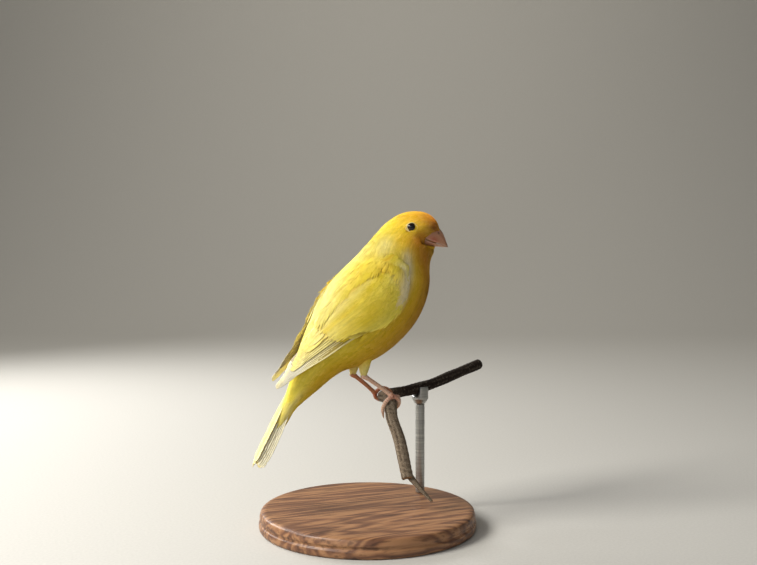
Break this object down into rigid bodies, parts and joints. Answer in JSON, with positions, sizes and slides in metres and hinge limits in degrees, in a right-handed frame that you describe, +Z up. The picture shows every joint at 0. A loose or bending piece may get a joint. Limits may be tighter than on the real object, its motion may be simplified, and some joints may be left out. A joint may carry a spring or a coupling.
{
  "type": "canary on a perch, museum model",
  "caption": "Life-size yellow canary gripping a short bent length of branch, tail hanging and wings folded, held on a round display base by a rod.",
  "frame": {"origin": "the middle of the underside of the round base, which rests on the floor", "axes": "+Z up, +X the way the bird's body faces, -Y the bird's right side"},
  "size_m": [0.1152, 0.09, 0.1311],
  "materials": {
    "plumage": "soft yellow body feathers",
    "head_plumage": "short orange-yellow feathers",
    "flight_feather": "smooth pale lemon vanes with cream edges",
    "bill_horn": "smooth pinkish horn",
    "eye": "wet glossy black",
    "leg_skin": "pink-brown scutes",
    "bark": "rough grey-brown bark",
    "base_wood": "turned and oiled walnut",
    "rod_metal": "brushed steel"
  },
  "bodies": {
    "root": {"head": "head_plumage", "neck": "plumage", "torso": "plumage", "tail": "flight_feather", "wing_right": "flight_feather", "wing_left": "flight_feather", "thigh_right": "plumage", "thigh_left": "plumage", "leg_right": "leg_skin", "leg_left": "leg_skin", "bill_upper": "bill_horn", "bill_lower": "bill_horn", "eye_right": "eye", "eye_left": "eye", "branch": "bark", "stand_base": "base_wood", "stand_rod": "rod_metal", "stand_cradle": "rod_metal"}
  },
  "joints": []
}
